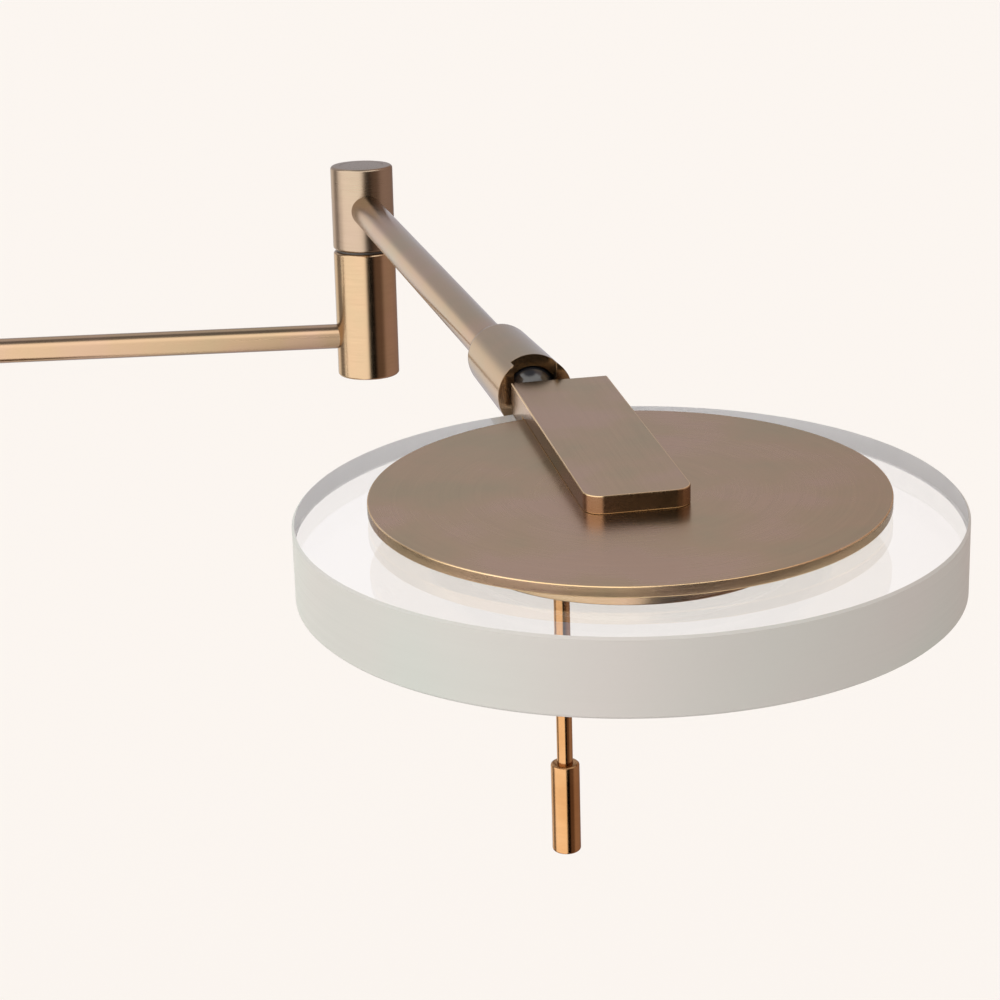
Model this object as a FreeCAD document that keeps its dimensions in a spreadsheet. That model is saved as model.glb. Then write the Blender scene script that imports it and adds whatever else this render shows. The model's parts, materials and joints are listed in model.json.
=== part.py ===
import FreeCAD, Part
import math
import os
import Sketcher

# Swing arm desk lamp.  Origin: centre of the base's underside, +Z up, and +X along the first arm from
# the column to the elbow.  Millimetres throughout.  Parts are drawn in one of three frames:
#   table frame    column, base and first arm
#   forearm frame  origin on the elbow's axis at table level, X along the second arm
#   head frame     origin at the ball's centre, X along the head, Z square to the glass

SIZES = [
    # base
    ("base_dia", 230), ("base_height", 22), ("cover_wall", 2), ("cover_chamfer", 3),
    ("pad_dia", 216), ("pad_thick", 2), ("plate_dia", 225.4), ("plate_thick", 2),
    ("base_screw_circle", 95), ("base_screw_dia", 4), ("base_screw_head", 8), ("base_screw_long", 11),
    ("cord_hole_dia", 10), ("cord_hole_up", 11), ("cord_bore", 7), ("grommet_flange", 14),
    ("grommet_lip", 1.5), ("cord_channel", 10),
    # column
    ("column_dia", 14), ("column_bore", 11), ("flange_dia", 34), ("flange_thick", 5),
    ("stud_bore", 7), ("stud_low", 7), ("stud_high", 60), ("nut_flats", 20), ("nut_thick", 6),
    ("nut_pocket_dia", 34), ("nut_pocket_deep", 12), ("washer_dia", 30), ("washer_thick", 1.5),
    # barrels
    ("barrel_dia", 20), ("barrel_edge", 0.6), ("upper_barrel_tall", 27), ("elbow_lower_tall", 41.4),
    ("shoulder_lower_tall", 28), ("barrel_floor", 4), ("cavity_dia", 14), ("lower_cavity_dia", 12),
    ("cap_thick", 2), ("friction_washer_thick", 0.6), ("friction_washer_dia", 18), ("running_gap", 0.05),
    ("post_dia", 8), ("post_bore", 4.6), ("post_foot", 12), ("post_nut_flats", 11), ("post_nut_thick", 3.6),
    # arms
    ("first_arm_height", 350.4), ("second_arm_height", 392.9), ("elbow_centre", 220),
    ("first_tube_dia", 8), ("second_tube_dia", 10), ("tube_wall", 1),
    ("tube_root", 6.5), ("second_tube_end", 226), ("elbow_turn", -83.7),
    # ball socket
    ("ball_centre", 251), ("collar_back", 214), ("collar_mouth", 257.3), ("collar_back_dia", 16.4),
    ("collar_mouth_dia", 17.8), ("collar_shoulder", 4), ("collar_wall_back", 8), ("collar_cavity", 12.4),
    ("bush_dia", 12.2), ("bush_long", 3.9), ("ball_dia", 12), ("lip_bore", 10.2), ("lip_start", 3.3),
    ("slot_width", 10), ("slot_start", 2.6), ("seat_long", 6), ("seat_bore", 4), ("sleeve_bore", 7),
    ("socket_gap", 0.4),
    # head, measured from the ball's centre
    ("head_roll", 0.9), ("head_nose_down", 3), ("head_yaw", -1.4), ("glass_centre", 77.9),
    ("head_side", 5.6), ("glass_top", -3.1),
    ("glass_dia", 140), ("glass_thick", 16.4), ("glass_edge", 0.5), ("glass_bore", 70),
    ("gasket_thick", 1.5), ("gasket_dia", 84), ("gasket_bore", 72), ("disc_dia", 108.6), ("disc_thick", 2.4),
    ("bracket_wide", 22.6), ("bracket_aside", -0.6), ("bracket_thick", 4), ("bracket_front", 13.2), ("bracket_back", 67.9),
    ("bracket_corner", 4), ("block_tall", 7.5), ("block_clear", 0.4), ("stem_dia", 4.4), ("stem_bore", 2.6),
    ("stem_depth", 8), ("channel_wide", 2.8), ("channel_deep", 2.4),
    ("bracket_screw_dia", 3), ("bracket_screw_head", 5.6), ("bracket_screw_long", 5.2),
    ("bracket_screw_front", 6), ("bracket_screw_back", 34),
    # lighting insert
    ("cup_dia", 69.4), ("cup_bore", 62), ("cup_floor", 3), ("board_dia", 60), ("board_thick", 1.6),
    ("chip_side", 3), ("chip_thick", 0.8), ("chip_circle", 24), ("chip_count", 12),
    ("diffuser_dia", 61.6), ("diffuser_thick", 2), ("bezel_dia", 73), ("bezel_bore", 60),
    ("bezel_thick", 2), ("bezel_screw_circle", 33), ("bezel_screw_dia", 2), ("bezel_screw_head", 3.6),
    ("bezel_screw_long", 7), ("insert_screw_circle", 27), ("insert_screw_long", 5),
    ("rod_dia", 3.4), ("rod_side", -14.7), ("rod_low", 56.6), ("knob_dia", 6.2), ("knob_long", 20.5),
    ("knob_edge", 0.5),
    # leads
    ("lead_dia", 2), ("lead_bend", 4), ("lead_tight_bend", 1.4), ("lead_start", 108), ("lead_gap", 0.4), ("lead_dip", 5.3), ("lead_dip_start", 45),
]

doc = FreeCAD.newDocument("swing_arm_desk_lamp")
sheet = doc.addObject("Spreadsheet::Sheet", "sizes")
for row, (alias, value) in enumerate(SIZES, start=1):
    sheet.set("A%d" % row, alias)
    sheet.set("B%d" % row, str(value))
    sheet.setAlias("B%d" % row, alias)
doc.recompute()

X_AXIS = FreeCAD.Vector(1, 0, 0)
Y_AXIS = FreeCAD.Vector(0, 1, 0)
Z_AXIS = FreeCAD.Vector(0, 0, 1)
made = []


def size(alias):
    """A driving dimension, read from the sheet."""
    return float(sheet.get(alias))


def value_of(expression):
    """The number an expression in the sheet's names gives now."""
    result = sheet.evalExpression(expression)
    return float(result)


def bound(names):
    """Writes the sheet's own names into an expression: {ball_dia} becomes sizes.ball_dia."""
    return names.replace("{", "sizes.").replace("}", "")


def plane_of(body, role):
    """One of a body's own origin planes."""
    return [item for item in body.Origin.OriginFeatures if item.Role == role][0]


def new_body(label):
    body = doc.addObject("PartDesign::Body", label)
    body.Label = label
    return body


def new_sketch(body, role, name, offset="0"):
    """A sketch on one of the body's origin planes, moved along its normal by an expression."""
    sketch = body.newObject("Sketcher::SketchObject", name)
    sketch.AttachmentSupport = [(plane_of(body, role), "")]
    sketch.MapMode = "FlatFace"
    if offset != "0":
        sketch.setExpression("AttachmentOffset.Base.z", bound(offset))
    return sketch


def pin_point(sketch, item, which, across, up):
    """Fixes one point of the sketch by two expressions, or on an axis where the expression is 0."""
    for kind, axis, expression in (("DistanceX", -2, across), ("DistanceY", -1, up)):
        if expression == "0":
            sketch.addConstraint(Sketcher.Constraint("PointOnObject", item, which, axis))
            continue
        number = value_of(bound(expression))
        index = sketch.addConstraint(Sketcher.Constraint(kind, -1, 1, item, which, number))
        sketch.setExpression("Constraints[%d]" % index, bound(expression))


def draw_outline(sketch, corners):
    """A closed outline of straight lines whose corners are pairs of expressions."""
    points = []
    for across, up in corners:
        points.append(FreeCAD.Vector(value_of(bound(across)), value_of(bound(up)), 0))
    count = len(points)
    first = sketch.GeometryCount
    for i in range(count):
        sketch.addGeometry(Part.LineSegment(points[i], points[(i + 1) % count]), False)
    for i in range(count):
        follow = first + (i + 1) % count
        sketch.addConstraint(Sketcher.Constraint("Coincident", first + i, 2, follow, 1))
    for i, (across, up) in enumerate(corners):
        pin_point(sketch, first + i, 1, across, up)


def draw_circle(sketch, across, up, diameter):
    """A circle whose centre and diameter are expressions."""
    centre = FreeCAD.Vector(value_of(bound(across)), value_of(bound(up)), 0)
    radius = value_of(bound(diameter)) / 2
    item = sketch.addGeometry(Part.Circle(centre, Z_AXIS, radius), False)
    index = sketch.addConstraint(Sketcher.Constraint("Diameter", item, 2 * radius))
    sketch.setExpression("Constraints[%d]" % index, bound(diameter))
    pin_point(sketch, item, 3, across, up)


def finish(thing, placement):
    """Puts a sub-part in its place and keeps it for writing."""
    thing.Placement = placement
    made.append(thing)
    return thing


def turn(body, corners, axis):
    """Revolves an outline about the body's X or Z axis; corners are (radius, along) for Z, (along, radius) for X."""
    sketch = new_sketch(body, "XZ_Plane", body.Name + "_profile")
    draw_outline(sketch, corners)
    feature = body.newObject("PartDesign::Revolution", body.Name + "_turned")
    feature.Profile = sketch
    feature.ReferenceAxis = (sketch, ["V_Axis" if axis == "Z" else "H_Axis"])
    feature.Angle = 360
    sketch.Visibility = False
    body.Tip = feature
    doc.recompute()
    return feature


def upright(label, corners, placement):
    """A turned sub-part that stands along Z."""
    body = new_body(label)
    turn(body, corners, "Z")
    return finish(body, placement)


def lying(label, corners, placement):
    """A turned sub-part that lies along X."""
    body = new_body(label)
    turn(body, corners, "X")
    return finish(body, placement)


def ring_corners(inner, outer, low, high):
    """The outline of a plain ring or, with inner 0, of a plain disc."""
    return [(inner, low), (outer, low), (outer, high), (inner, high)]


def pocket(body, sketch, length, toward_normal, through_all=False):
    """Cuts a sketch out of a body; the volume has to fall, or the cut went the wrong way."""
    before = body.Tip.Shape.Volume
    feature = body.newObject("PartDesign::Pocket", sketch.Name + "_cut")
    feature.Profile = sketch
    feature.Reversed = toward_normal
    if through_all:
        feature.Type = "ThroughAll"
    else:
        feature.setExpression("Length", bound(length))
    sketch.Visibility = False
    body.Tip = feature
    doc.recompute()
    if feature.Shape.Volume >= before - 1e-6:
        raise ValueError(feature.Name + " cuts nothing")
    return feature


def pad(body, sketch, length):
    feature = body.newObject("PartDesign::Pad", sketch.Name + "_pad")
    feature.Profile = sketch
    feature.setExpression("Length", bound(length))
    sketch.Visibility = False
    body.Tip = feature
    doc.recompute()
    return feature


def around(body, feature, count):
    """Repeats a cut evenly about the body's Z axis."""
    pattern = body.newObject("PartDesign::PolarPattern", feature.Name + "_around")
    pattern.Originals = [feature]
    axis = [item for item in body.Origin.OriginFeatures if item.Role == "Z_Axis"][0]
    pattern.Axis = (axis, [""])
    pattern.Angle = 360
    pattern.Occurrences = count
    body.Tip = pattern
    doc.recompute()
    return pattern


def hexagon(sketch, flats):
    """A hexagon across flats, centred on the sketch's origin."""
    corners = []
    for i in range(6):
        angle = math.radians(60 * i)
        across = "{%s} / 2 / cos(30) * %.6f" % (flats, math.cos(angle))
        up = "{%s} / 2 / cos(30) * %.6f" % (flats, math.sin(angle)) if i % 3 else "0"
        corners.append((across, up))
    draw_outline(sketch, corners)


def lead(label, way, placement, bend_name="lead_bend"):
    """A round lead along straight runs joined by arcs; way is a list of (along, up) numbers in XZ."""
    bend = size(bend_name)
    points = [FreeCAD.Vector(x, 0, z) for x, z in way]
    edges = []
    start = points[0]
    for i in range(1, len(points) - 1):
        before = (points[i] - points[i - 1]).normalize()
        after = (points[i + 1] - points[i]).normalize()
        turn_angle = before.getAngle(after)
        setback = bend * math.tan(turn_angle / 2)
        enter = points[i] - before * setback
        leave = points[i] + after * setback
        middle_direction = (after - before).normalize()
        corner_reach = bend / math.cos(turn_angle / 2) - bend
        middle = points[i] + middle_direction * corner_reach
        edges.append(Part.makeLine(start, enter))
        edges.append(Part.Arc(enter, middle, leave).toShape())
        start = leave
    edges.append(Part.makeLine(start, points[-1]))
    spine = Part.Wire(edges)
    first_run = (points[1] - points[0]).normalize()
    circle = Part.Wire([Part.makeCircle(size("lead_dia") / 2, points[0], first_run)])
    thing = doc.addObject("Part::Feature", label)
    thing.Label = label
    thing.Shape = spine.makePipeShell([circle], True, True)
    return finish(thing, placement)


def screw_shape(shank, head, long):
    """A countersunk screw: head face at z = 0, shank downwards."""
    sink = (head - shank) / 2
    outline = [(0, 0), (head / 2, 0), (shank / 2, -sink), (shank / 2, -long), (0, -long), (0, 0)]
    wire = Part.makePolygon([FreeCAD.Vector(r, 0, z) for r, z in outline])
    return Part.Face(wire).revolve(FreeCAD.Vector(0, 0, 0), Z_AXIS, 360)


def group(label, shapes, placement):
    """Identical small pieces kept as one node of separate solids."""
    thing = doc.addObject("Part::Feature", label)
    thing.Label = label
    thing.Shape = Part.makeCompound(shapes)
    return finish(thing, placement)


def at(x, y, z):
    return FreeCAD.Placement(FreeCAD.Vector(x, y, z), FreeCAD.Rotation())


def upside_down(x, y, z):
    return FreeCAD.Placement(FreeCAD.Vector(x, y, z), FreeCAD.Rotation(X_AXIS, 180))


TABLE = at(0, 0, 0)
ELBOW = at(size("elbow_centre"), 0, 0)
FOREARM = FreeCAD.Placement(
    FreeCAD.Vector(size("elbow_centre"), 0, 0), FreeCAD.Rotation(Z_AXIS, size("elbow_turn"))
)
SECOND_ARM = FOREARM.multiply(at(0, 0, size("second_arm_height")))
HEAD_TURN = FreeCAD.Rotation(X_AXIS, size("head_roll")).multiply(
    FreeCAD.Rotation(Y_AXIS, size("head_nose_down"))
).multiply(FreeCAD.Rotation(Z_AXIS, size("head_yaw")))
HEAD = SECOND_ARM.multiply(FreeCAD.Placement(FreeCAD.Vector(size("ball_centre"), 0, 0), HEAD_TURN))
GLASS = HEAD.multiply(at(size("glass_centre"), size("head_side"), size("glass_top")))


# base -----------------------------------------------------------------------------------------------

def make_foot_pad():
    upright("foot_pad", ring_corners("0", "{pad_dia} / 2", "0", "{pad_thick}"), TABLE)


def make_base_bottom_plate():
    body = new_body("base_bottom_plate")
    low = "{pad_thick}"
    turn(body, ring_corners("0", "{plate_dia} / 2", low, low + " + {plate_thick}"), "Z")
    sketch = new_sketch(body, "XY_Plane", "plate_screw_hole")
    draw_circle(sketch, "{base_screw_circle}", "0", "{base_screw_head} + 0.4")
    hole = pocket(body, sketch, "{base_height}", True)
    around(body, hole, 3)
    finish(body, TABLE)


def make_base_weight():
    body = new_body("base_weight")
    low = "{pad_thick} + {plate_thick}"
    top = "{base_height} - {cover_wall}"
    rim = "{plate_dia} / 2"
    pocket_top = low + " + {nut_pocket_deep}"
    corners = [
        ("{nut_pocket_dia} / 2", low), (rim, low), (rim, top), ("{column_bore} / 2", top),
        ("{column_bore} / 2", pocket_top), ("{nut_pocket_dia} / 2", pocket_top),
    ]
    turn(body, corners, "Z")
    screw = new_sketch(body, "XY_Plane", "weight_screw_hole")
    draw_circle(screw, "{base_screw_circle}", "0", "{base_screw_dia}")
    hole = pocket(body, screw, low + " + {base_screw_long}", True)
    around(body, hole, 3)
    channel = new_sketch(body, "YZ_Plane", "cord_channel")
    half = "{cord_channel} / 2"
    up = "{cord_hole_up} + {cord_channel} / 2"
    draw_outline(channel, [("-" + half, low), (half, low), (half, up), ("-" + half, up)])
    pocket(body, channel, "{base_dia} / 2", False)
    finish(body, TABLE)


def make_base_cover():
    body = new_body("base_cover")
    outer = "{base_dia} / 2"
    inner = "{base_dia} / 2 - {cover_wall}"
    low = "{pad_thick}"
    under = "{base_height} - {cover_wall}"
    corners = [
        (inner, low), (outer, low), (outer, "{base_height} - {cover_chamfer}"),
        (outer + " - {cover_chamfer}", "{base_height}"), ("{column_bore} / 2", "{base_height}"),
        ("{column_bore} / 2", under), (inner, under),
    ]
    turn(body, corners, "Z")
    sketch = new_sketch(body, "YZ_Plane", "cord_hole")
    draw_circle(sketch, "0", "{cord_hole_up}", "{cord_hole_dia}")
    pocket(body, sketch, "{base_dia}", False)
    finish(body, TABLE)


def make_base_screws():
    screw = screw_shape(size("base_screw_dia"), size("base_screw_head"), size("base_screw_long"))
    shapes = []
    for i in range(3):
        angle = math.radians(120 * i)
        radius = size("base_screw_circle")
        copy = screw.copy()
        copy.Placement = upside_down(radius * math.cos(angle), radius * math.sin(angle), size("pad_thick"))
        shapes.append(copy)
    group("base_screws", shapes, TABLE)


def make_cable_grommet():
    bore = "{cord_bore} / 2"
    neck = "{cord_hole_dia} / 2"
    flange = "{grommet_flange} / 2"
    wall = "{cover_wall}"
    corners = [
        ("0", bore), (wall, bore), (wall + " + {grommet_lip}", bore), (wall + " + {grommet_lip}", flange),
        (wall, flange), (wall, neck), ("0", neck),
    ]
    place = FreeCAD.Placement(
        FreeCAD.Vector(-size("base_dia") / 2 + size("cover_wall"), 0, size("cord_hole_up")),
        FreeCAD.Rotation(Z_AXIS, 180),
    )
    lying("cable_grommet", corners, place)


# column and shoulder ---------------------------------------------------------------------------------

def make_column():
    top = "{first_arm_height} - {upper_barrel_tall} / 2 - {friction_washer_thick}"
    barrel_low = top + " - {shoulder_lower_tall}"
    inner = "{column_bore} / 2"
    outer = "{column_dia} / 2"
    upright("column_tube", ring_corners(inner, outer, "{base_height}", barrel_low + " + 12"), TABLE)
    high = "{base_height} + {flange_thick}"
    corners = [
        (outer, "{base_height}"), ("{flange_dia} / 2", "{base_height}"),
        ("{flange_dia} / 2", high + " - 1.5"), ("{flange_dia} / 2 - 1.5", high), (outer, high),
    ]
    upright("column_flange", corners, TABLE)
    upright("column_stud", ring_corners("{stud_bore} / 2", inner, "{stud_low}", "{stud_high}"), TABLE)
    ceiling = "{pad_thick} + {plate_thick} + {nut_pocket_deep}"
    upright("column_washer", ring_corners(inner, "{washer_dia} / 2", ceiling + " - {washer_thick}", ceiling), TABLE)
    make_nut("column_nut", "nut_flats", "column_bore", ceiling + " - {washer_thick} - {nut_thick}", "nut_thick", TABLE)


def make_nut(label, flats, bore, low, thick, placement):
    body = new_body(label)
    sketch = new_sketch(body, "XY_Plane", label + "_hexagon", low)
    hexagon(sketch, flats)
    draw_circle(sketch, "0", "0", "{%s}" % bore)
    pad(body, sketch, "{%s}" % thick)
    finish(body, placement)


def make_pivot(name, split, placement):
    """The hollow post a barrel turns on, with its friction washer below and its nut above."""
    bore = "{post_bore} / 2"
    shank = "{post_dia} / 2"
    floor = split + " + {friction_washer_thick} + {running_gap} + {barrel_floor}"
    low = split + " - {post_foot}"
    nut_low = floor + " + 0.4"
    top = nut_low + " + {post_nut_thick}"
    upright(name + "_pivot", ring_corners(bore, shank, low, top), placement)
    washer_top = split + " + {friction_washer_thick}"
    upright(name + "_washer", ring_corners(shank, "{friction_washer_dia} / 2", split, washer_top), placement)
    make_nut(name + "_nut", "post_nut_flats", "post_dia", nut_low, "post_nut_thick", placement)


def make_shoulder_lower_barrel(split):
    low = split + " - {shoulder_lower_tall}"
    outer = "{barrel_dia} / 2"
    edge = "{barrel_edge}"
    corners = [
        ("{column_dia} / 2", low), (outer + " - " + edge, low), (outer, low + " + " + edge),
        (outer, split + " - " + edge), (outer + " - " + edge, split), ("{post_dia} / 2", split),
        ("{post_dia} / 2", low + " + 12"), ("{column_dia} / 2", low + " + 12"),
    ]
    upright("shoulder_lower_barrel", corners, TABLE)


def make_upper_barrel(name, height, tube_dia, placement):
    """A turning barrel: a floor that runs on the post, a cavity above it and a side bore for the arm."""
    body = new_body(name + "_upper_barrel")
    low = height + " - {upper_barrel_tall} / 2 + {running_gap}"
    top = height + " + {upper_barrel_tall} / 2"
    outer = "{barrel_dia} / 2"
    edge = "{barrel_edge}"
    run = "{post_dia} / 2 + {running_gap}"
    floor = low + " + {barrel_floor}"
    cavity = "{cavity_dia} / 2"
    corners = [
        (run, low), (outer + " - " + edge, low), (outer, low + " + " + edge), (outer, top + " - " + edge),
        (outer + " - " + edge, top), (cavity, top), (cavity, floor), (run, floor),
    ]
    turn(body, corners, "Z")
    sketch = new_sketch(body, "YZ_Plane", name + "_arm_bore")
    draw_circle(sketch, "0", height, tube_dia)
    pocket(body, sketch, outer + " + 1", True)
    finish(body, placement)
    cap = ring_corners("0", cavity, top + " - {cap_thick}", top)
    upright(name + "_cap", cap, placement)


def make_first_arm(placement):
    start = "{tube_root}"
    end = "{elbow_centre} - {tube_root} + 1"
    outer = "{first_tube_dia} / 2"
    inner = outer + " - {tube_wall}"
    corners = [(start, inner), (end, inner), (end, outer), (start, outer)]
    lying("first_arm_tube", corners, at(0, 0, size("first_arm_height")))


def make_elbow_lower_barrel(split):
    body = new_body("elbow_lower_barrel")
    low = split + " - {elbow_lower_tall}"
    outer = "{barrel_dia} / 2"
    edge = "{barrel_edge}"
    cavity = "{lower_cavity_dia} / 2"
    ceiling = split + " - {post_foot}"
    corners = [
        (cavity, low), (outer + " - " + edge, low), (outer, low + " + " + edge), (outer, split + " - " + edge),
        (outer + " - " + edge, split), ("{post_dia} / 2", split), ("{post_dia} / 2", ceiling), (cavity, ceiling),
    ]
    turn(body, corners, "Z")
    sketch = new_sketch(body, "YZ_Plane", "elbow_first_arm_bore")
    draw_circle(sketch, "0", "{first_arm_height}", "{first_tube_dia}")
    pocket(body, sketch, outer + " + 1", False)
    finish(body, ELBOW)
    upright("elbow_bottom_cap", ring_corners("0", cavity, low, low + " + {cap_thick}"), ELBOW)


def make_second_arm():
    outer = "{second_tube_dia} / 2"
    inner = outer + " - {tube_wall}"
    start = "{tube_root}"
    end = "{second_tube_end}"
    lying("second_arm_tube", [(start, inner), (end, inner), (end, outer), (start, outer)], SECOND_ARM)
    bush_start = end + " - {bush_long}"
    bush = [(bush_start, outer), (end, outer), (end, "{bush_dia} / 2"), (bush_start, "{bush_dia} / 2")]
    lying("swivel_bush", bush, SECOND_ARM)


# ball socket -----------------------------------------------------------------------------------------

def make_socket_collar():
    body = new_body("socket_collar")
    back = "{collar_back}"
    mouth = "{collar_mouth}"
    run = "{second_tube_dia} / 2 + {running_gap}"
    wall = back + " + {collar_wall_back}"
    cavity = "{collar_cavity} / 2"
    seat = "{ball_centre}"
    ball_bore = "{ball_dia} / 2 + {running_gap}"
    lip = "{ball_centre} + {lip_start}"
    back_radius = "{collar_back_dia} / 2"
    shoulder = "{collar_shoulder}"
    corners = [
        (back, run), (back, back_radius + " - {collar_shoulder} * 0.5"),
        (back + " + " + shoulder + " * 0.4", back_radius + " - {collar_shoulder} * 0.16"),
        (back + " + " + shoulder, back_radius),
        (mouth, "{collar_mouth_dia} / 2"), (mouth, "{lip_bore} / 2"), (lip, "{lip_bore} / 2"),
        (lip, ball_bore), (seat + " - 1", ball_bore), (seat + " - 1", cavity), (wall, cavity), (wall, run),
    ]
    turn(body, corners, "X")
    sketch = new_sketch(body, "XY_Plane", "collar_slot")
    half = "{slot_width} / 2"
    start = "{ball_centre} + {slot_start}"
    end = mouth + " + 1"
    draw_outline(sketch, [(start, "-" + half), (end, "-" + half), (end, half), (start, half)])
    pocket(body, sketch, "{collar_mouth_dia}", True)
    finish(body, SECOND_ARM)


def make_ball_seat():
    body = new_body("ball_seat")
    front = "{ball_centre} - 1"
    back = front + " - {seat_long}"
    outer = "{collar_cavity} / 2"
    turn(body, [(back, "{seat_bore} / 2"), (front, "{seat_bore} / 2"), (front, outer), (back, outer)], "X")
    ball = doc.addObject("PartDesign::SubtractiveSphere", "seat_hollow")
    body.addObject(ball)
    ball.setExpression("Radius", bound("{ball_dia} / 2 + {running_gap}"))
    ball.AttachmentSupport = [(plane_of(body, "XY_Plane"), "")]
    ball.MapMode = "FlatFace"
    ball.setExpression("AttachmentOffset.Base.x", bound("{ball_centre}"))
    body.Tip = ball
    doc.recompute()
    finish(body, SECOND_ARM)
    sleeve_end = back
    sleeve_start = "{second_tube_end} + {socket_gap}"
    inner = "{sleeve_bore} / 2"
    corners = [(sleeve_start, inner), (sleeve_end, inner), (sleeve_end, outer), (sleeve_start, outer)]
    lying("seat_sleeve", corners, SECOND_ARM)


def make_ball():
    """The ball, bored along X for the stem, and the hollow stem that joins it to the bracket."""
    body = new_body("ball")
    sphere = doc.addObject("PartDesign::AdditiveSphere", "ball_sphere")
    body.addObject(sphere)
    sphere.setExpression("Radius", bound("{ball_dia} / 2"))
    body.Tip = sphere
    doc.recompute()
    sketch = new_sketch(body, "YZ_Plane", "ball_bore_front")
    draw_circle(sketch, "0", "0", "{stem_dia}")
    pocket(body, sketch, "{ball_dia}", True)
    rear = new_sketch(body, "YZ_Plane", "ball_bore_back")
    draw_circle(rear, "0", "0", "{stem_bore}")
    pocket(body, rear, "{ball_dia}", False)
    finish(body, HEAD)
    end = "{glass_centre} - {bracket_back} + {stem_depth}"
    corners = [("0", "{stem_bore} / 2"), (end, "{stem_bore} / 2"), (end, "{stem_dia} / 2"), ("0", "{stem_dia} / 2")]
    lying("ball_stem", corners, HEAD)


# head ------------------------------------------------------------------------------------------------

def make_bracket():
    """A flat bar on the disc with a thicker block behind it, square to the ball's stem."""
    body = new_body("bracket")
    back = "{glass_centre} - {bracket_back}"
    front = "{glass_centre} + {bracket_front}"
    under = "{glass_top} + {gasket_thick} + {disc_thick}"
    left = "{head_side} + {bracket_aside} - {bracket_wide} / 2"
    right = "{head_side} + {bracket_aside} + {bracket_wide} / 2"
    bar = new_sketch(body, "XY_Plane", "bracket_outline", under)
    draw_outline(bar, [(back, left), (front, left), (front, right), (back, right)])
    pad(body, bar, "{bracket_thick}")
    block_end = "{glass_centre} - {disc_dia} / 2 - 0.4"
    block_low = "{glass_top} + {block_clear}"
    block = new_sketch(body, "XY_Plane", "block_outline", block_low)
    draw_outline(block, [(back, left), (block_end, left), (block_end, right), (back, right)])
    pad(body, block, "{gasket_thick} + {disc_thick} - {block_clear}")
    corners = []
    for i, edge in enumerate(body.Tip.Shape.Edges, start=1):
        direction = edge.tangentAt(edge.FirstParameter)
        if abs(direction.z) > 0.99 and edge.CenterOfMass.x > size("glass_centre"):
            corners.append("Edge%d" % i)
    square_bar = body.Tip
    rounding = body.newObject("PartDesign::Fillet", "bracket_corners")
    rounding.Base = (square_bar, corners)
    rounding.setExpression("Radius", bound("{bracket_corner}"))
    body.Tip = rounding
    doc.recompute()
    stem = new_sketch(body, "YZ_Plane", "stem_hole")
    draw_circle(stem, "0", "0", "{stem_dia}")
    pocket(body, stem, back + " + {stem_depth}", True)
    channel = new_sketch(body, "XY_Plane", "lead_channel", block_low)
    half = "{channel_wide} / 2"
    start = back + " + {stem_depth}"
    draw_outline(channel, [(start, "-" + half), ("{glass_centre}", "-" + half), ("{glass_centre}", half), (start, half)])
    pocket(body, channel, under + " + {channel_deep} - (" + block_low + ")", True)
    screws = new_sketch(body, "XY_Plane", "bracket_screw_holes", under)
    for place in ("{bracket_screw_front}", "-{bracket_screw_back}"):
        draw_circle(screws, "{glass_centre} + " + place, "{head_side}", "{bracket_screw_dia}")
    pocket(body, screws, "{bracket_screw_long} - {disc_thick}", True)
    finish(body, HEAD)


def make_top_disc():
    body = new_body("top_disc")
    low = "{gasket_thick}"
    turn(body, ring_corners("0", "{disc_dia} / 2", low, low + " + {disc_thick}"), "Z")
    holes = new_sketch(body, "XY_Plane", "disc_holes")
    draw_circle(holes, "{bracket_screw_front}", "0", "{bracket_screw_head}")
    draw_circle(holes, "-{bracket_screw_back}", "0", "{bracket_screw_head}")
    draw_circle(holes, "-6", "-{head_side}", "{channel_wide}")
    pocket(body, holes, "{gasket_thick} + {disc_thick}", True)
    insert = new_sketch(body, "XY_Plane", "insert_screw_hole")
    draw_circle(insert, "0", "{insert_screw_circle}", "{bezel_screw_dia}")
    hole = pocket(body, insert, "{insert_screw_long} - {cup_floor} + {gasket_thick}", True)
    around(body, hole, 3)
    finish(body, GLASS)


def make_bracket_screws():
    """Sunk in the disc from below, up into the bar."""
    screw = screw_shape(size("bracket_screw_dia"), size("bracket_screw_head"), size("bracket_screw_long"))
    shapes = []
    for x in (size("bracket_screw_front"), -size("bracket_screw_back")):
        copy = screw.copy()
        copy.Placement = upside_down(x, 0, size("gasket_thick"))
        shapes.append(copy)
    group("bracket_screws", shapes, GLASS)


def make_glass():
    upright("glass_gasket", ring_corners("{gasket_bore} / 2", "{gasket_dia} / 2", "0", "{gasket_thick}"), GLASS)
    outer = "{glass_dia} / 2"
    inner = "{glass_bore} / 2"
    edge = "{glass_edge}"
    low = "-{glass_thick}"
    corners = [
        (inner, low), (outer + " - " + edge, low), (outer, low + " + " + edge), (outer, "-" + edge),
        (outer + " - " + edge, "0"), (inner, "0"),
    ]
    upright("glass_disc", corners, GLASS)


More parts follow.
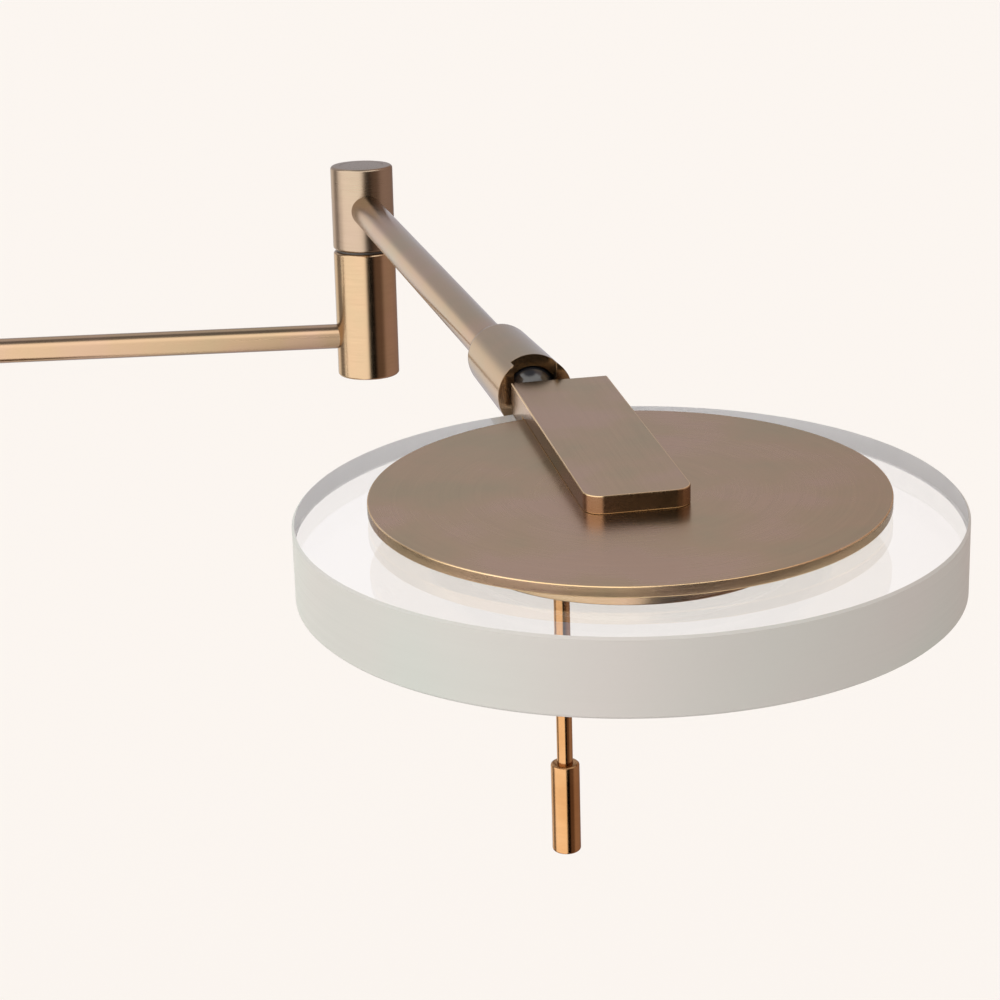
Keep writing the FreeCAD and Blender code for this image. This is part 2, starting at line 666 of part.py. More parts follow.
def make_lighting_insert():
    """Cup, board, diffuser and the bezel that carries the glass, all under the disc."""
    top = "{gasket_thick}"
    ceiling = top + " - {cup_floor}"
    low = "-{glass_thick}"
    rod = "{rod_side}"
    cup = new_body("led_cup")
    outer = "{cup_dia} / 2"
    inner = "{cup_bore} / 2"
    turn(cup, [("0", ceiling), (inner, ceiling), (inner, low), (outer, low), (outer, top), ("0", top)], "Z")
    holes = new_sketch(cup, "XY_Plane", "cup_holes")
    draw_circle(holes, "-6", "-{head_side}", "{channel_wide}")
    pocket(cup, holes, top, True, True)
    side = new_sketch(cup, "XY_Plane", "cup_lead_hole_low")
    draw_circle(side, "-6", "-{head_side}", "{channel_wide}")
    pocket(cup, side, top, False, True)
    tap = new_sketch(cup, "XY_Plane", "cup_bezel_hole", low)
    draw_circle(tap, "0", "{bezel_screw_circle}", "{bezel_screw_dia}")
    hole = pocket(cup, tap, "{bezel_screw_long} - {bezel_thick}", True)
    around(cup, hole, 3)
    through = new_sketch(cup, "XY_Plane", "cup_insert_hole", ceiling)
    draw_circle(through, "0", "{insert_screw_circle}", "{bezel_screw_head}")
    hole = pocket(cup, through, "{cup_floor}", True)
    around(cup, hole, 3)
    finish(cup, GLASS)

    board = new_body("led_board")
    board_low = ceiling + " - {board_thick}"
    turn(board, ring_corners("0", "{board_dia} / 2", board_low, ceiling), "Z")
    openings = new_sketch(board, "XY_Plane", "board_holes", board_low)
    draw_circle(openings, "-6", "-{head_side}", "{channel_wide}")
    draw_circle(openings, "0", rod, "{rod_dia}")
    pocket(board, openings, "{board_thick}", True)
    relief = new_sketch(board, "XY_Plane", "board_screw_relief", board_low)
    draw_circle(relief, "0", "{insert_screw_circle}", "{bezel_screw_head} + 0.4")
    hole = pocket(board, relief, "{board_thick}", True)
    around(board, hole, 3)
    finish(board, GLASS)

    diffuser = new_body("diffuser")
    turn(diffuser, ring_corners("0", "{diffuser_dia} / 2", low, low + " + {diffuser_thick}"), "Z")
    eye = new_sketch(diffuser, "XY_Plane", "diffuser_rod_hole", low)
    draw_circle(eye, "0", rod, "{rod_dia}")
    pocket(diffuser, eye, "{diffuser_thick}", True)
    finish(diffuser, GLASS)

    bezel = new_body("bezel_ring")
    under = low + " - {bezel_thick}"
    corners = [
        ("{bezel_bore} / 2", under), ("{bezel_dia} / 2 - 0.6", under), ("{bezel_dia} / 2", under + " + 0.6"),
        ("{bezel_dia} / 2", low), ("{bezel_bore} / 2", low),
    ]
    turn(bezel, corners, "Z")
    sink = new_sketch(bezel, "XY_Plane", "bezel_screw_hole", under)
    draw_circle(sink, "0", "{bezel_screw_circle}", "{bezel_screw_head}")
    hole = pocket(bezel, sink, "{bezel_thick}", True)
    around(bezel, hole, 3)
    finish(bezel, GLASS)


def ring_of_screws(label, circle, head_height, long):
    screw = screw_shape(size("bezel_screw_dia"), size("bezel_screw_head"), long)
    shapes = []
    for i in range(3):
        angle = math.radians(90 + 120 * i)
        copy = screw.copy()
        copy.Placement = upside_down(circle * math.cos(angle), circle * math.sin(angle), head_height)
        shapes.append(copy)
    group(label, shapes, GLASS)


def make_insert_fasteners():
    under = -size("glass_thick") - size("bezel_thick")
    ring_of_screws("bezel_screws", size("bezel_screw_circle"), under, size("bezel_screw_long"))
    ceiling = size("gasket_thick") - size("cup_floor")
    ring_of_screws("insert_screws", size("insert_screw_circle"), ceiling, size("insert_screw_long"))


def make_led_chips():
    side = size("chip_side")
    thick = size("chip_thick")
    top = size("gasket_thick") - size("cup_floor") - size("board_thick")
    count = int(size("chip_count"))
    shapes = []
    for i in range(count):
        turned = FreeCAD.Rotation(Z_AXIS, 360 * (i + 0.5) / count)
        chip = Part.makeBox(side, side, thick, FreeCAD.Vector(size("chip_circle") - side / 2, -side / 2, 0))
        chip.Placement = FreeCAD.Placement(FreeCAD.Vector(0, 0, top - thick), turned)
        shapes.append(chip)
    group("led_chips", shapes, GLASS)


def make_touch_rod():
    start = "{gasket_thick} - {cup_floor}"
    place = GLASS.multiply(at(0, size("rod_side"), 0))
    upright("touch_rod", ring_corners("0", "{rod_dia} / 2", "-{rod_low} - 3", start), place)
    low = "-{rod_low} - {knob_long}"
    radius = "{knob_dia} / 2"
    edge = "{knob_edge}"
    hole = "{rod_dia} / 2"
    corners = [
        ("0", low), (radius + " - " + edge, low), (radius, low + " + " + edge), (radius, "-{rod_low} - " + edge),
        (radius + " - " + edge, "-{rod_low}"), (hole, "-{rod_low}"), (hole, "-{rod_low} - 3"), ("0", "-{rod_low} - 3"),
    ]
    upright("touch_knob", corners, place)


# leads -----------------------------------------------------------------------------------------------

def make_leads():
    """The inner lead, cut where each joint turns; the cord outside the base is not part of the lamp's body."""
    first = size("first_arm_height")
    second = size("second_arm_height")
    gap = size("lead_gap")
    inlet = -size("lead_start")
    high = size("cord_hole_up")
    low = size("lead_dip")
    dip = -size("lead_dip_start")
    shoulder_cut = first - size("upper_barrel_tall") / 2
    lead("base_lead", [(inlet, high), (dip, high), (dip + 12, low), (0, low), (0, shoulder_cut)], TABLE)
    elbow = size("elbow_centre")
    elbow_cut = second - size("upper_barrel_tall") / 2
    arm_way = [(0, shoulder_cut + gap), (0, first), (elbow, first), (elbow, elbow_cut)]
    lead("arm_lead", arm_way, TABLE)
    socket_cut = size("second_tube_end")
    forearm_way = [(0, elbow_cut + gap), (0, second), (socket_cut, second)]
    lead("forearm_lead", forearm_way, FOREARM)
    ball_back = size("ball_dia") / 2
    socket_way = [(socket_cut + gap, 0), (size("ball_centre") - ball_back - gap, 0)]
    lead("socket_lead", socket_way, SECOND_ARM)
    back = size("glass_centre") - size("bracket_back") + size("stem_depth")
    channel = size("glass_top") + size("gasket_thick") + size("disc_thick") + 1.2
    drop = size("glass_centre") - 6
    end = size("glass_top") + size("gasket_thick") - size("cup_floor") - size("board_thick")
    head_start = gap - ball_back
    head_way = [(head_start, 0), (back + 0.6, 0), (back + 4.6, channel), (drop, channel), (drop, end)]
    lead("head_lead", head_way, HEAD, "lead_tight_bend")


def main():
    shoulder_split = "{first_arm_height} - {upper_barrel_tall} / 2 - {friction_washer_thick}"
    elbow_split = "{second_arm_height} - {upper_barrel_tall} / 2 - {friction_washer_thick}"
    make_foot_pad()
    make_base_bottom_plate()
    make_base_weight()
    make_base_cover()
    make_base_screws()
    make_cable_grommet()
    make_column()
    make_shoulder_lower_barrel(shoulder_split)
    make_pivot("shoulder", shoulder_split, TABLE)
    make_upper_barrel("shoulder", "{first_arm_height}", "{first_tube_dia}", TABLE)
    make_first_arm(TABLE)
    make_elbow_lower_barrel(elbow_split)
    make_pivot("elbow", elbow_split, ELBOW)
    make_upper_barrel("elbow", "{second_arm_height}", "{second_tube_dia}", FOREARM)
    make_second_arm()
    make_socket_collar()
    make_ball_seat()
    make_ball()
    make_bracket()
    make_top_disc()
    make_bracket_screws()
    make_glass()
    make_lighting_insert()
    make_insert_fasteners()
    make_led_chips()
    make_touch_rod()
    make_leads()
    doc.recompute()


def write():
    """Checks every object, then writes one STEP file for each sub-part."""
    for item in doc.Objects:
        if "Invalid" in item.State or "Error" in item.State:
            raise ValueError("%s is in error: %s" % (item.Name, item.State))
    os.makedirs("parts", exist_ok=True)
    for thing in made:
        if thing.Shape.isNull() or not thing.Shape.isValid() or thing.Shape.Volume <= 0:
            raise ValueError("%s has no sound shape" % thing.Label)
        thing.Shape.exportStep("parts/%s.step" % thing.Label)
        print("%-24s %10.1f mm3  %d solid(s)" % (thing.Label, thing.Shape.Volume, len(thing.Shape.Solids)))


main()
write()
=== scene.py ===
# %% [markdown]
# # A swing arm desk lamp with a glass disc for a head
#
# Turned and flat bronze parts carry a thick disc of clear glass with a ground rim. This file
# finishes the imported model: it keeps the shapes and places that the design fixed, and builds
# each part that shows again with clean faces, softened edges and a real-looking finish.
# Every length below is in metres, and every part is made where it stands on the lamp.

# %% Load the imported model
import json
import math

import bmesh
import bpy
from mathutils import Matrix, Vector

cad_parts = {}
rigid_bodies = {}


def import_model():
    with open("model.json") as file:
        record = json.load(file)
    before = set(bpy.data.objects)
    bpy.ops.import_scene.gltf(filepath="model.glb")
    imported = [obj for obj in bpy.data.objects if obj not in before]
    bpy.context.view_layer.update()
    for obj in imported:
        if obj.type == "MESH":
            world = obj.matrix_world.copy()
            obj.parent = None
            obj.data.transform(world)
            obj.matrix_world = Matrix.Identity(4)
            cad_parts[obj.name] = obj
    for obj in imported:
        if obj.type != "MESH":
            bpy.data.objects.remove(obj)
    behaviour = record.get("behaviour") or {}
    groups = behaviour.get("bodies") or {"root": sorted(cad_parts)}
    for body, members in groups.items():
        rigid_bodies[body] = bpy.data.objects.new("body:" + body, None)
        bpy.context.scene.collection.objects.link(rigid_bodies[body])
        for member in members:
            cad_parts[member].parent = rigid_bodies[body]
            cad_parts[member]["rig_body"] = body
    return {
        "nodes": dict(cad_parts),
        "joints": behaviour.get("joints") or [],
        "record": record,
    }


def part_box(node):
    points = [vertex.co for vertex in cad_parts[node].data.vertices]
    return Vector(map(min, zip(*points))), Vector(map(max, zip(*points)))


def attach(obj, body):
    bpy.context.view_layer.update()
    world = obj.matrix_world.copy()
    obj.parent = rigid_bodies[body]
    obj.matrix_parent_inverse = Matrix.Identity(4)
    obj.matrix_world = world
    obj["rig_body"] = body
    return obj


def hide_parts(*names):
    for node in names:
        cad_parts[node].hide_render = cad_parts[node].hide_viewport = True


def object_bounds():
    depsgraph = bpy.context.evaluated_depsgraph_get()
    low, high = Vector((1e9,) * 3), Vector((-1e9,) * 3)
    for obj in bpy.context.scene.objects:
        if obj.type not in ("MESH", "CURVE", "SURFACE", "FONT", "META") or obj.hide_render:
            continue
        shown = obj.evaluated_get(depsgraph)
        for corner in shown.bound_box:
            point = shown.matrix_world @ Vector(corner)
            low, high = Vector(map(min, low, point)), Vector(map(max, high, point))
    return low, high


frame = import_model()
cad_low, cad_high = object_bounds()
mm = 0.001
print("packed model:", len(frame["nodes"]), "nodes, box", tuple(cad_low), tuple(cad_high))

# %% [markdown]
# ## Where the joints are
#
# A jointed object is easiest to build in the local frames of its joints: the table for the base,
# the first arm and the barrels, a frame that lies along the second arm, one that tilts with the
# head about the ball, and one at the middle of the glass. They could be typed in as numbers, but
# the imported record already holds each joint's place and axis, so they are read from there.

# %% Frames of the joints
joints = {joint["name"]: joint for joint in frame["joints"]}


def frame_at(origin, along, side):
    """A frame with its X axis along one direction and its Y axis to one side."""
    x = Vector(along).normalized()
    z = x.cross(Vector(side)).normalized()
    y = z.cross(x)
    turn = Matrix((x, y, z)).transposed().to_4x4()
    return Matrix.Translation(Vector(origin)) @ turn


def middle(node):
    low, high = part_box(node)
    return (low + high) / 2


arm_way = joints["socket_swivel"]["axis"]
arm_side = joints["head_tilt"]["axis"]
head_roll, head_nose_down, head_yaw = (math.radians(angle) for angle in (0.9, 3, -1.4))
glass_thick = 16.4 * mm
table = Matrix.Identity(4)
elbow = Matrix.Translation(Vector(joints["elbow_swing"]["pos_m"]) * Vector((1, 1, 0)))
second_arm = frame_at(joints["elbow_swing"]["pos_m"], arm_way, arm_side)
head_turn = Matrix.Rotation(head_roll, 4, "X")
head_turn = head_turn @ Matrix.Rotation(head_nose_down, 4, "Y")
head_turn = head_turn @ Matrix.Rotation(head_yaw, 4, "Z")
head = frame_at(joints["head_tilt"]["pos_m"], arm_way, arm_side) @ head_turn
head_up = head.to_3x3() @ Vector((0, 0, 1))
glass = head.copy()
glass.translation = middle("glass_disc") + head_up * glass_thick / 2
glass_in_head = head.inverted() @ glass.translation
print("glass centre from the ball, in mm:", [round(v / mm, 2) for v in glass_in_head])

# %% [markdown]
# ## Camera
#
# A product picture of a lamp head is usually taken from a little above it with a long lens, so
# that circles stay calm ellipses. The camera stands in front of the elbow and looks down on the
# disc. Its place is given from the elbow's axis, so that it keeps its view if the lamp is moved.

# %% Camera
camera_from_elbow = Vector((-33.84, -847.2, 164.0)) * mm
camera_heading = math.radians(5.137)
camera_look_down = math.radians(16.523)
camera_lean = math.radians(1.366)
camera_lens = 95.09
elbow_level = 380.0 * mm

camera_data = bpy.data.cameras.new("camera")
camera = bpy.data.objects.new("camera", camera_data)
bpy.context.scene.collection.objects.link(camera)
camera_data.sensor_width = 36
camera_data.lens = camera_lens
camera_data.clip_start = 0.01
camera_data.clip_end = 100
camera_turn = (
    Matrix.Rotation(-camera_heading, 4, "Z")
    @ Matrix.Rotation(math.radians(90) - camera_look_down, 4, "X")
    @ Matrix.Rotation(-camera_lean, 4, "Z")
)
camera_place = elbow.translation + Vector((0, 0, elbow_level)) + camera_from_elbow
camera.matrix_world = Matrix.Translation(camera_place) @ camera_turn
bpy.context.scene.camera = camera
print("camera at", [round(v, 4) for v in camera_place], "with a", camera_lens, "mm lens")

# %% [markdown]
# ## Small tools for materials
#
# Every finish below is a node material. A shader's own sockets take the values that are the same
# all over, and only what varies is linked. These few helpers keep the wiring short: one makes a
# material with its Principled shader, one turns object coordinates into a part's own frame, and
# one adds a node and links it.

# %% Material helpers
def new_material(name, colour, roughness, metallic=0.0):
    material = bpy.data.materials.new(name)
    material.use_nodes = True
    shader = material.node_tree.nodes["Principled BSDF"]
    shader.inputs["Base Color"].default_value = (*colour, 1)
    shader.inputs["Roughness"].default_value = roughness
    shader.inputs["Metallic"].default_value = metallic
    return material, shader


def add_node(tree, kind, settings=None, links=None, values=None):
    """A node with its settings, the sockets that come from other nodes, and its plain values."""
    node = tree.nodes.new(kind)
    for key, value in (settings or {}).items():
        setattr(node, key, value)
    for key, value in (values or {}).items():
        node.inputs[key].default_value = value
    for key, socket in (links or {}).items():
        tree.links.new(socket, node.inputs[key])
    return node


def own_coordinates(tree, place):
    """Object coordinates turned and moved into the frame of one part."""
    source = add_node(tree, "ShaderNodeTexCoord")
    mapping = add_node(
        tree, "ShaderNodeMapping", {"vector_type": "TEXTURE"}, {"Vector": source.outputs["Object"]}
    )
    mapping.inputs["Location"].default_value = place.translation
    mapping.inputs["Rotation"].default_value = place.to_euler()
    return mapping.outputs["Vector"]


def ramp(tree, factor, stops):
    """A colour ramp from (position, colour) pairs."""
    node = add_node(tree, "ShaderNodeValToRGB", None, {"Fac": factor})
    elements = node.color_ramp.elements
    while len(elements) < len(stops):
        elements.new(0.5)
    for element, (position, colour) in zip(elements, stops):
        element.position = position
        element.color = (*colour, 1)
    return node.outputs["Color"]


def spread(tree, value, low, high, from_low=0.3, from_high=0.7):
    """Maps a pattern's value to a range."""
    node = add_node(
        tree,
        "ShaderNodeMapRange",
        None,
        {"Value": value},
        {"From Min": from_low, "From Max": from_high, "To Min": low, "To Max": high},
    )
    return node.outputs["Result"]


def noise(tree, vector, scale, detail=2.0, roughness=0.5):
    node = add_node(
        tree,
        "ShaderNodeTexNoise",
        None,
        {"Vector": vector},
        {"Scale": scale, "Detail": detail, "Roughness": roughness},
    )
    return node.outputs["Fac"]


# %% [markdown]
# ## Aged bronze
#
# The metal of the lamp is brushed bronze under a clear lacquer. The lathe leaves fine rings on
# the turned parts and the belt leaves straight lines on the flat ones, and the dark wash that
# ages it lies in soft clouds. A flat colour would look like paint, so the lines are noise that is
# stretched hard in one direction, and a slow noise drifts the colour between olive and rose and
# the polish between satin and bright.

# %% Bronze
bronze_mid = (0.415, 0.292, 0.186)
bronze_olive = (0.375, 0.285, 0.178)
bronze_rose = (0.440, 0.300, 0.214)
copper_mid = (0.420, 0.232, 0.104)
copper_deep = (0.380, 0.200, 0.084)
copper_pale = (0.450, 0.262, 0.130)
bronze_edge_shine = (0.62, 0.62, 0.62)
line_pitch = 1700.0
line_length = 30.0


def brush_lines(tree, vector, way):
    """Fine lines round the part's Z axis, or straight along its X axis."""
    parts = add_node(tree, "ShaderNodeSeparateXYZ", None, {"Vector": vector})
    x, y, z = (parts.outputs[axis] for axis in "XYZ")
    joined = add_node(tree, "ShaderNodeCombineXYZ")
    if way == "along":
        long_way = add_node(tree, "ShaderNodeMath", {"operation": "MULTIPLY"}, {0: x}, {1: line_length})
        across = add_node(tree, "ShaderNodeMath", {"operation": "MULTIPLY"}, {0: y}, {1: line_pitch})
        upward = add_node(tree, "ShaderNodeMath", {"operation": "MULTIPLY"}, {0: z}, {1: line_pitch})
        tree.links.new(long_way.outputs[0], joined.inputs[0])
        tree.links.new(across.outputs[0], joined.inputs[1])
        tree.links.new(upward.outputs[0], joined.inputs[2])
    else:
        flat = add_node(tree, "ShaderNodeCombineXYZ", None, {0: x, 1: y})
        radius = add_node(tree, "ShaderNodeVectorMath", {"operation": "LENGTH"}, {0: flat.outputs[0]})
        sum_up = add_node(
            tree, "ShaderNodeMath", {"operation": "ADD"}, {0: radius.outputs["Value"], 1: z}
        )
        rings = add_node(
            tree, "ShaderNodeMath", {"operation": "MULTIPLY"}, {0: sum_up.outputs[0]}, {1: line_pitch}
        )
        round_way = add_node(
            tree, "ShaderNodeVectorMath", {"operation": "NORMALIZE"}, {0: flat.outputs[0]}
        )
        ends = add_node(
            tree, "ShaderNodeSeparateXYZ", None, {"Vector": round_way.outputs["Vector"]}
        )
        tree.links.new(rings.outputs[0], joined.inputs[0])
        tree.links.new(ends.outputs["X"], joined.inputs[1])
        tree.links.new(ends.outputs["Y"], joined.inputs[2])
    return noise(tree, joined.outputs[0], 1.0, 2.0, 0.6)


def brushed_metal(name, place, way, colours, polish, cloud_scale=28.0, line_depth=0.02):
    """Brushed and lacquered metal: three colours that drift in clouds, and a range of polish."""
    material, shader = new_material(name, colours[1], polish[0], 1.0)
    tree = material.node_tree
    vector = own_coordinates(tree, place)
    clouds = noise(tree, vector, cloud_scale, 3.0, 0.55)
    lines = brush_lines(tree, vector, way)
    tone = ramp(tree, clouds, [(0.36, colours[0]), (0.5, colours[1]), (0.64, colours[2])])
    shade = add_node(
        tree,
        "ShaderNodeMix",
        {"data_type": "RGBA", "blend_type": "MULTIPLY"},
        None,
        {"Factor": 1.0},
    )
    grain = ramp(tree, lines, [(0.3, (0.93, 0.93, 0.93)), (0.7, (1.0, 1.0, 1.0))])
    tree.links.new(tone, shade.inputs[6])
    tree.links.new(grain, shade.inputs[7])
    tree.links.new(shade.outputs[2], shader.inputs["Base Color"])
    matt = add_node(
        tree,
        "ShaderNodeMath",
        {"operation": "ADD"},
        {0: spread(tree, clouds, polish[0], polish[1]), 1: spread(tree, lines, -0.02, 0.02)},
    )
    tree.links.new(matt.outputs[0], shader.inputs["Roughness"])
    bump = add_node(
        tree,
        "ShaderNodeBump",
        None,
        {"Height": lines},
        {"Strength": line_depth, "Distance": 0.0002},
    )
    tree.links.new(bump.outputs["Normal"], shader.inputs["Normal"])
    shader.inputs["Specular Tint"].default_value = (*bronze_edge_shine, 1)
    return material


bronze_colours = (bronze_olive, bronze_mid, bronze_rose)
copper_colours = (copper_deep, copper_mid, copper_pale)
satin = (0.18, 0.25)
bronze_on_base = brushed_metal("bronze_on_base", table, "round", bronze_colours, (0.24, 0.34), 14.0)
bronze_on_column = brushed_metal("bronze_on_column", table, "round", bronze_colours, satin)
bronze_on_elbow = brushed_metal("bronze_on_elbow", elbow, "round", bronze_colours, satin)
# The upper elbow barrel and its cap take a paler, greyer copy of the same bronze. The paleness is a
# painted reflection, since both barrels are of one bar.
painted_paler_colours = ((0.34, 0.27, 0.20), (0.35, 0.27, 0.205), (0.36, 0.27, 0.215))
elbow_bronze_painted_paler = brushed_metal(
    "elbow_bronze_painted_paler", elbow, "round", painted_paler_colours, (0.26, 0.34)
)
first_arm_place = Matrix.Translation(Vector((0, 0, middle("first_arm_tube").z)))
bronze_on_first_arm = brushed_metal(
    "bronze_on_first_arm", first_arm_place, "along", bronze_colours, satin
)
bronze_on_second_arm = brushed_metal("bronze_on_second_arm", second_arm, "along", bronze_colours, satin)
bronze_on_bracket = brushed_metal("bronze_on_bracket", head, "along", bronze_colours, satin, 40.0)
bronze_on_disc = brushed_metal(
    "bronze_on_disc", glass, "round", bronze_colours, (0.20, 0.30), 34.0, 0.03
)
print("bronze finishes made:", len([m for m in bpy.data.materials if "bronze" in m.name]))

# %% [markdown]
# ## Worn edges and a painted highlight
#
# Where hands and cloths reach an edge, the dark wash rubs off and the bright metal below shows as
# a thin line. A chamfer also catches a thin line of light, and that highlight is painted in as well.
# The edges are real chamfers in the mesh, so they can simply take a second, brighter material, which
# is steadier than finding the edges again in the shader.

# %% Bright edges: wear and a painted highlight
# The brighter colours are partly wear and partly a painted highlight, the line of light a chamfer
# catches.
edge_wear_and_highlight_colours = ((0.60, 0.43, 0.25), (0.66, 0.48, 0.29), (0.70, 0.52, 0.33))
edge_wear_and_painted_highlight = brushed_metal("edge_wear_and_painted_highlight", head, "along", edge_wear_and_highlight_colours, (0.22, 0.30), 60.0, 0.02)

# %% [markdown]
# ## Shop tools for shapes
#
# Nearly every part of the lamp was made on a lathe or cut from flat bar, and the mesh is made
# the same way: an outline is spun round an axis, or a flat outline is extruded. Then every sharp
# edge is softened with a narrow bevel, because a real edge always catches a line of light. The
# last helper puts a part in its place, gives it its finish, hangs it on the body of the design
# part it replaces and hides that part.

# %% Shape helpers
turning_steps = 128
edge_rounds = 3


def turned(outline, steps=turning_steps):
    """Spins an outline of (radius, height) pairs round Z, closed where it isn't on the axis."""
    shape = bmesh.new()
    points = [shape.verts.new((radius, 0, height)) for radius, height in outline]
    edges = [shape.edges.new(pair) for pair in zip(points, points[1:])]
    if outline[0][0] > 0 or outline[-1][0] > 0:
        edges.append(shape.edges.new((points[-1], points[0])))
    bmesh.ops.spin(
        shape,
        geom=points + edges,
        axis=(0, 0, 1),
        cent=(0, 0, 0),
        angle=math.tau,
        steps=steps,
        use_merge=True,
    )
    bmesh.ops.remove_doubles(shape, verts=shape.verts, dist=0.002 * mm)
    bmesh.ops.recalc_face_normals(shape, faces=shape.faces)
    return shape


def soften(shape, width, rounds=edge_rounds, edges=None, sharper_than=30):
    """Bevels the sharp edges and returns the new narrow faces."""
    if edges is None:
        edges = [
            edge
            for edge in shape.edges
            if len(edge.link_faces) == 2 and edge.calc_face_angle() > math.radians(sharper_than)
        ]
    result = bmesh.ops.bevel(
        shape,
        geom=edges,
        offset=width,
        offset_type="OFFSET",
        segments=rounds,
        profile=0.5,
        affect="EDGES",
        clamp_overlap=True,
        material=-1,
    )
    return result["faces"]


def lay_along_x(shape):
    """Turns a part that was spun round Z so that its axis lies along X."""
    bmesh.ops.rotate(
        shape, verts=shape.verts, cent=(0, 0, 0), matrix=Matrix.Rotation(math.radians(90), 3, "Y")
    )


def box_shape(low, high):
    """A block between two corners."""
    shape = bmesh.new()
    bmesh.ops.create_cube(shape, size=1.0)
    size = Vector(high) - Vector(low)
    bmesh.ops.scale(shape, verts=shape.verts, vec=size)
    bmesh.ops.translate(shape, verts=shape.verts, vec=(Vector(high) + Vector(low)) / 2)
    return shape


def carve(shape, cutter):
    """Takes one shape out of another, as a cutter does, and returns what is left."""
    objects = []
    for part in (shape, cutter):
        mesh = bpy.data.meshes.new("blank")
        part.to_mesh(mesh)
        part.free()
        thing = bpy.data.objects.new("blank", mesh)
        bpy.context.scene.collection.objects.link(thing)
        objects.append(thing)
    cut = objects[0].modifiers.new("cut", "BOOLEAN")
    cut.operation = "DIFFERENCE"
    cut.solver = "EXACT"
    cut.object = objects[1]
    bpy.context.view_layer.update()
    evaluated = objects[0].evaluated_get(bpy.context.evaluated_depsgraph_get())
    left = bmesh.new()
    left.from_mesh(evaluated.to_mesh())
    evaluated.to_mesh_clear()
    for thing in objects:
        mesh = thing.data
        bpy.data.objects.remove(thing)
        bpy.data.meshes.remove(mesh)
    bmesh.ops.remove_doubles(left, verts=left.verts, dist=0.002 * mm)
    return left


def finish_part(shape, name, node, place, materials, smooth_under=40):
    """Puts a shape in its place as a piece, with its finish, on the body of the node it replaces."""
    shape.transform(place)
    mesh = bpy.data.meshes.new(name)
    shape.to_mesh(mesh)
    shape.free()
    for material in materials:
        mesh.materials.append(material)
    mesh.shade_smooth()
    mesh.set_sharp_from_angle(angle=math.radians(smooth_under))
    piece = bpy.data.objects.new(name, mesh)
    bpy.context.scene.collection.objects.link(piece)
    even = piece.modifiers.new("flat_faces_stay_flat", "WEIGHTED_NORMAL")
    even.keep_sharp = True
    body = frame["nodes"][node]["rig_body"]
    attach(piece, body)
    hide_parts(node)
    low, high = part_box(node)
    made = [Vector(corner) for corner in piece.bound_box]
    gaps = [
        abs(extreme(point[axis] for point in made) - corner[axis])
        for extreme, corner in ((min, low), (max, high))
        for axis in range(3)
    ]
    print(f"{name}: {len(mesh.polygons)} faces, {max(gaps) / mm:.2f} mm from the design's box")
    return piece


# %% [markdown]
# ## Base and column
#
# The lamp stands on a heavy round foot with a thin spun cover, and a plain tube with a small
# collar rises from it. The cover is a shell, because the back has a hole for the cord's rubber
# bush. A cylinder with a texture could stand in for it, but then the hole would have no depth.

# %% Base cover
base_radius = 115 * mm
base_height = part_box("base_cover")[1].z
cover_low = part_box("base_cover")[0].z
cover_wall = 2 * mm
cover_chamfer = 3 * mm
column_bore = 5.5 * mm
cord_hole_height = 11 * mm
cord_hole_radius = 5 * mm

cover = turned(
    [
        (base_radius - cover_wall, cover_low),
        (base_radius, cover_low),
        (base_radius, base_height - cover_chamfer),
        (base_radius - cover_chamfer, base_height),
        (column_bore, base_height),
        (column_bore, base_height - cover_wall),
        (base_radius - cover_wall, base_height - cover_wall),
    ],
    steps=192,
)
cutter_long = 30 * mm
hole_maker = turned(
    [(0, 0), (cord_hole_radius, 0), (cord_hole_radius, cutter_long), (0, cutter_long)], steps=48
)
lay_along_x(hole_maker)
hole_start = Vector((-base_radius - 10 * mm, 0, cord_hole_height))
bmesh.ops.translate(hole_maker, verts=hole_maker.verts, vec=hole_start)
cover_rims = [
    edge
    for edge in cover.edges
    if edge.calc_face_angle() > math.radians(30)
    and min(vert.co.xy.length for vert in edge.verts) > base_radius - cover_chamfer - 0.1 * mm
    and max(vert.co.z for vert in edge.verts) > cover_low + 1 * mm
]
soften(cover, 0.8 * mm, 4, cover_rims)
cover = carve(cover, hole_maker)
finish_part(cover, "base_cover_spun", "base_cover", table, [bronze_on_base], 30)

# %% Column and its collar
column_radius = 7 * mm
flange_radius = 17 * mm
flange_height = 5 * mm
column_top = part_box("column_tube")[1].z

collar_ring = turned(
    [
        (column_radius, base_height),
        (flange_radius, base_height),
        (flange_radius, base_height + flange_height - 1.5 * mm),
        (flange_radius - 1.5 * mm, base_height + flange_height),
        (column_radius, base_height + flange_height),
    ]
)
soften(collar_ring, 0.35 * mm)
finish_part(collar_ring, "column_collar", "column_flange", table, [bronze_on_column])

column = turned(
    [
        (column_bore, base_height),
        (column_radius, base_height),
        (column_radius, column_top),
        (column_bore, column_top),
    ]
)
finish_part(column, "column_tube_drawn", "column_tube", table, [bronze_on_column])

# %% [markdown]
# ## Barrels
#
# Each swing joint is a pair of barrels of the same bar, one turning on the other over a thin
# black nylon washer that shows as a hairline. The outside is a plain cylinder with a broken edge, and
# the inside is bored for the pivot. They are spun from the outline of their wall, so that the
# hollow is there when the lamp is taken apart.

# %% Barrels
barrel_radius = 10 * mm
barrel_edge = 0.6 * mm
pivot_radius = 4 * mm


def barrel_outline(low, high, inside):
    """The wall of a barrel: its broken outer edges, then the steps of its bore."""
    return [
        (inside[0][0], low),
        (barrel_radius - barrel_edge, low),
        (barrel_radius, low + barrel_edge),
        (barrel_radius, high - barrel_edge),
        (barrel_radius - barrel_edge, high),
        (inside[-1][0], high),
        *reversed(inside[1:-1]),
    ]


